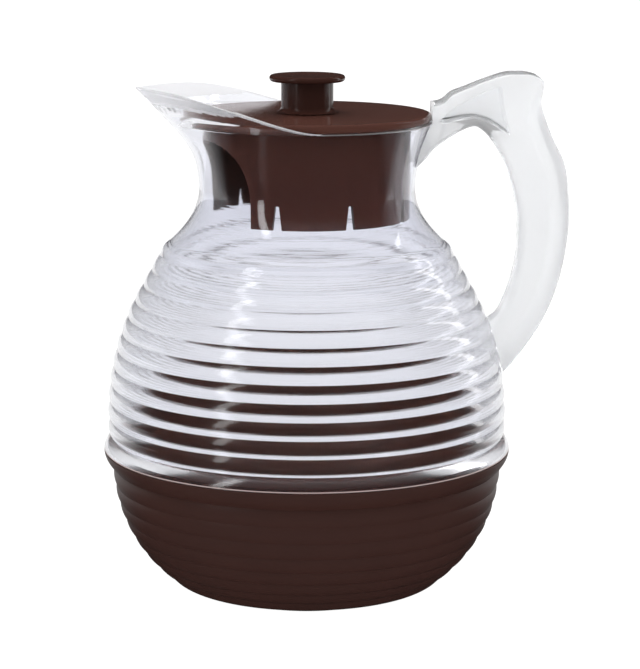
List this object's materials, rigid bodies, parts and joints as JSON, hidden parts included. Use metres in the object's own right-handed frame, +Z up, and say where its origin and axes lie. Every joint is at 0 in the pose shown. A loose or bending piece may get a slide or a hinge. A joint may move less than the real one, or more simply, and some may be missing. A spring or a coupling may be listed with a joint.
{
  "type": "water carafe",
  "caption": "Round ribbed water carafe with a clear shell and spout, a brown ribbed bowl, a clear side handle, and a brown lift-out lid that turns under its knob.",
  "frame": {"origin": "on the table, on the axis of the round body", "axes": "+Z up, +X towards the handle and -X towards the spout"},
  "size_m": [0.183, 0.161, 0.2065],
  "materials": {
    "clear_plastic": "clear and polished, with a faint lilac tint",
    "brown_plastic": "dark brown, satin on the bowl and polished on the lid"
  },
  "bodies": {
    "jug": {"clear_body": "clear_plastic", "bowl": "brown_plastic", "handle": "clear_plastic"},
    "knob": {"knob": "brown_plastic"},
    "lid": {"lid": "brown_plastic"}
  },
  "joints": [
    {"name": "lid_lift", "type": "slide", "parent": "jug", "child": "knob", "axis": [0, 0, 1], "range_m": [0, 0.06]},
    {"name": "lid_turn", "type": "hinge", "parent": "knob", "child": "lid", "pos_m": [0, 0, 0.189], "axis": [0, 0, 1], "continuous": true}
  ]
}
